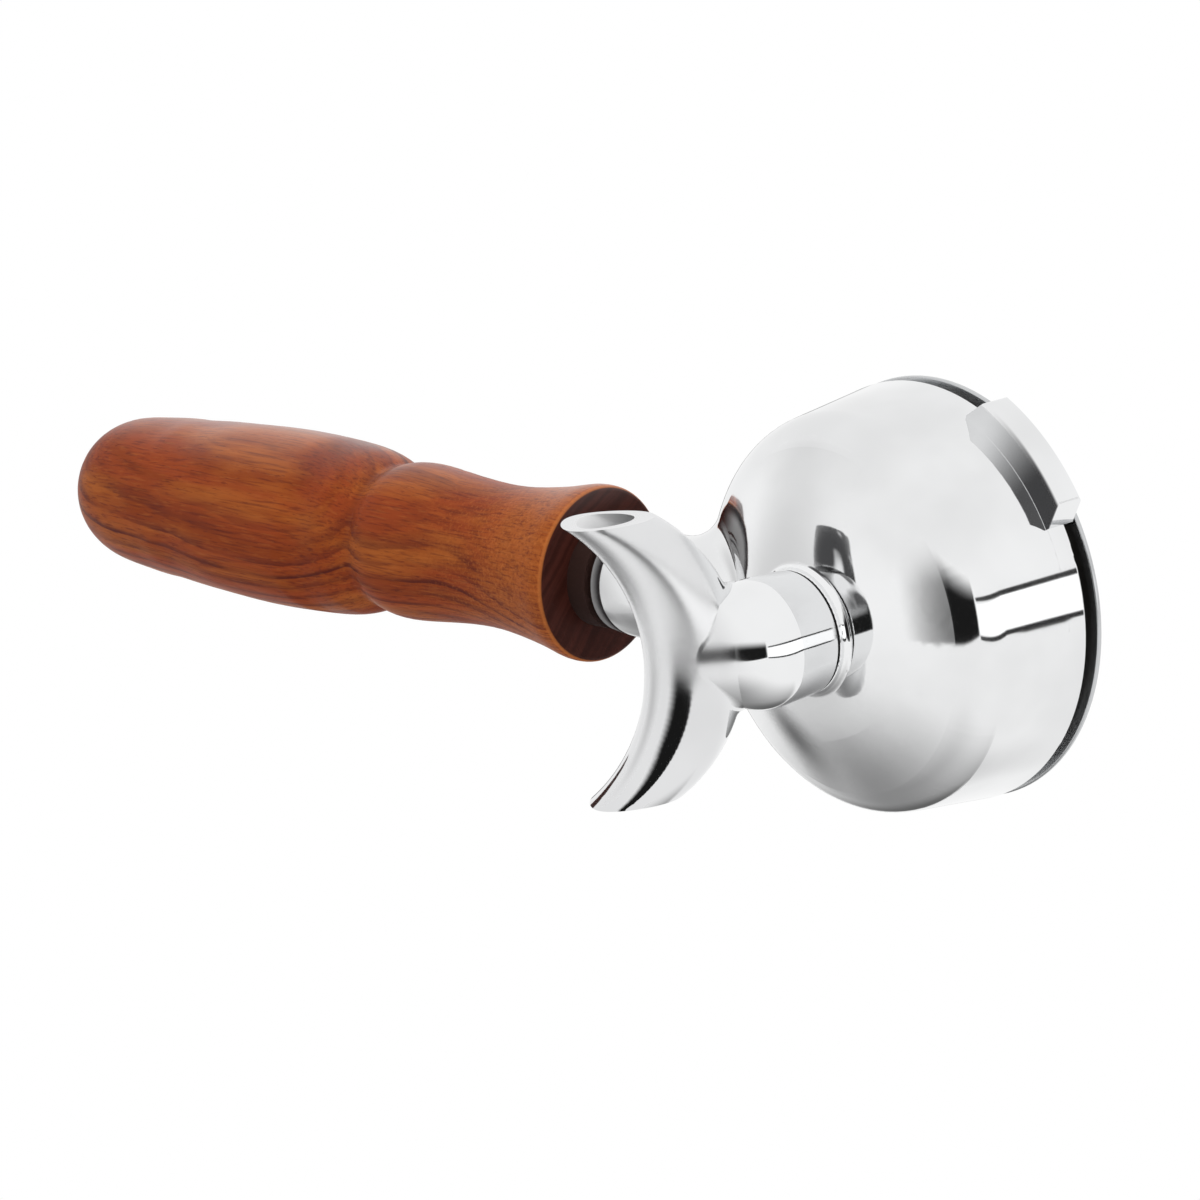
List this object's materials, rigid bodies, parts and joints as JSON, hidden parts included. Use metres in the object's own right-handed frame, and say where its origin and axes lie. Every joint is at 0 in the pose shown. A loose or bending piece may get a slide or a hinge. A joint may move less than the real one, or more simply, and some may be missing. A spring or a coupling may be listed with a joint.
{
  "type": "portafilter",
  "caption": "Espresso portafilter: round chromed bowl with bayonet ears, lift-out filter basket, screw-on twin spout and turned wooden handle.",
  "frame": {"origin": "centre of the bowl's rim, on the basket's axis and inside the height of its straight wall", "axes": "+Z along the basket's axis out of its mouth, up when the portafilter is in use; +X towards the handle; +Y to the left of the handle seen from behind the handle"},
  "size_m": [0.2148, 0.07, 0.0668],
  "materials": {
    "chrome_body": "mirror-polished chrome plate on cast brass",
    "chrome_spout": "mirror-polished chrome plate on cast brass",
    "basket_steel": "pressed stainless steel, satin inside",
    "spring_steel": "drawn stainless spring wire",
    "seal_rubber": "black flat seal",
    "rosewood": "oiled and polished red-brown rosewood with dark streaks",
    "stud_steel": "zinc-plated threaded stud",
    "insert_brass": "turned brass",
    "spacer_plastic": "matt black ring"
  },
  "bodies": {
    "head": {"portafilter_body": "chrome_body", "basket_spring": "spring_steel", "handle_spacer": "spacer_plastic", "handle_stud": "stud_steel", "handle_insert": "insert_brass", "handle_grip": "rosewood"},
    "basket": {"filter_basket": "basket_steel"},
    "seal": {"spout_seal": "seal_rubber"},
    "spout": {"twin_spout": "chrome_spout"}
  },
  "joints": [
    {"name": "basket_lift", "type": "slide", "parent": "head", "child": "basket", "axis": [0, 0, 1], "range_m": [0, 0.026]},
    {"name": "spout_travel", "type": "slide", "parent": "head", "child": "seal", "axis": [0, 0, -1], "range_m": [0, 0.00803]},
    {"name": "spout_screw", "type": "hinge", "parent": "seal", "child": "spout", "pos_m": [0, 0, -0.03], "axis": [0, 0, -1], "range_deg": [0, 2160]}
  ],
  "couplings": [
    {"joint": "spout_travel", "follows": "spout_screw", "m_per_rad": 0.00021279}
  ]
}
